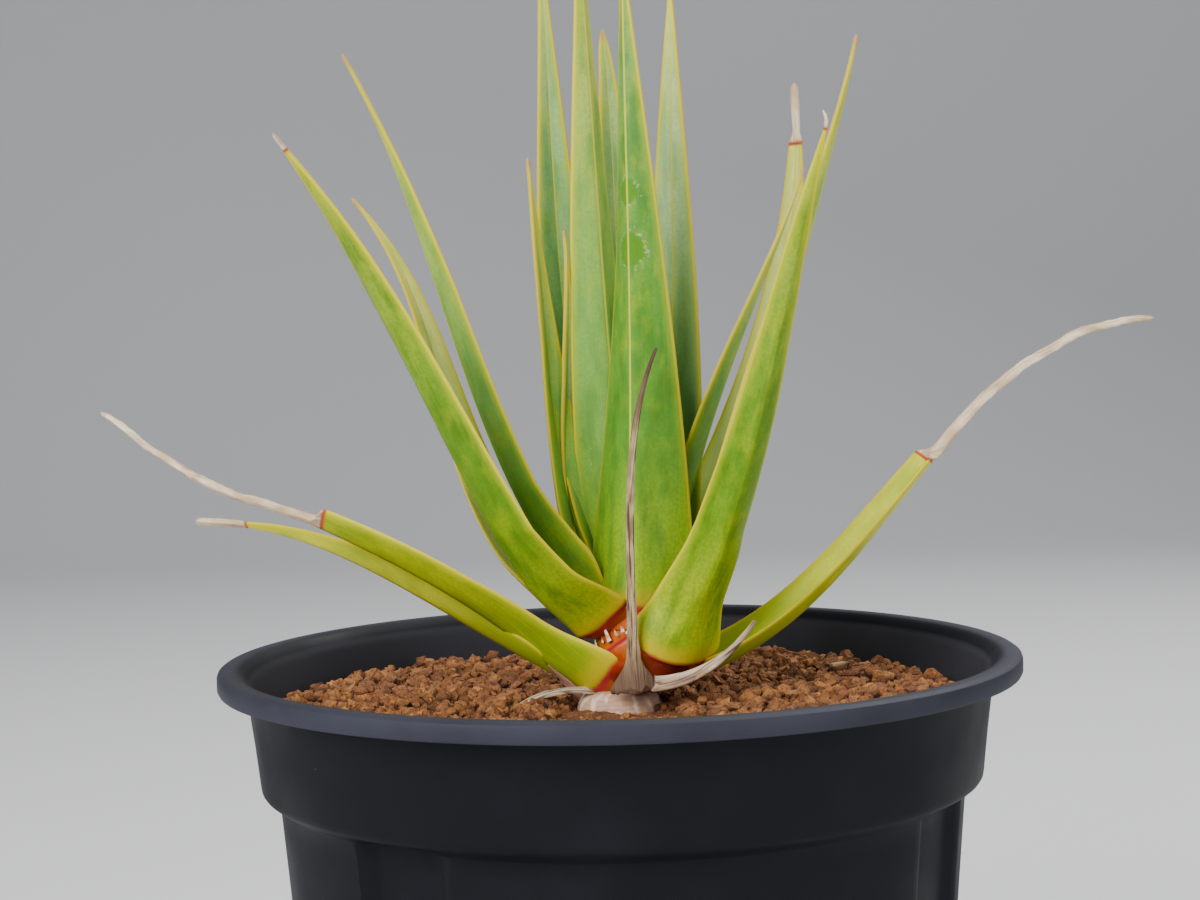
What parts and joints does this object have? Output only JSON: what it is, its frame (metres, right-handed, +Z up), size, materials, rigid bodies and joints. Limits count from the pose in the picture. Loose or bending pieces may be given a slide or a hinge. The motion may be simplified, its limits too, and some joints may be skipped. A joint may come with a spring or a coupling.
{
  "type": "potted socotra dragon tree",
  "caption": "Young dragon tree with a rosette of long channelled tapering leaves on a short ringed stem, in a round tapered nursery pot of granular clay soil.",
  "frame": {"origin": "centre of the pot's flat underside", "axes": "+Z up along the pot's axis; the front of the plant, as pictured, faces -Y, and +X is to its right"},
  "size_m": [0.2073, 0.15, 0.2655],
  "materials": {
    "pot_plastic": "satin",
    "clay_granules": "matte",
    "stem": "satin",
    "leaf": "satin",
    "leaf_ageing": "satin",
    "dry_leaf": "matte"
  },
  "bodies": {
    "root": {"nursery_pot": "pot_plastic", "clay_soil": "clay_granules", "stem_crown": "stem", "leaf_left_low": "leaf", "leaf_right_front": "leaf", "leaf_drooping_left": "leaf_ageing", "leaf_drooping_right": "leaf_ageing", "leaf_drooping_left_back": "leaf_ageing", "dry_leaf_front": "dry_leaf", "dry_shred_right": "dry_leaf", "dry_shred_left": "dry_leaf", "leaf_right_outer": "leaf", "leaf_left_back": "leaf", "leaf_front_centre": "leaf", "leaf_left_upper": "leaf", "leaf_right_back": "leaf", "leaf_right_inner": "leaf", "leaf_short_left": "leaf", "leaf_tall_right": "leaf", "leaf_centre_left": "leaf", "leaf_young_inner": "leaf", "leaf_inner_back": "leaf", "leaf_tall_left": "leaf"}
  },
  "joints": []
}
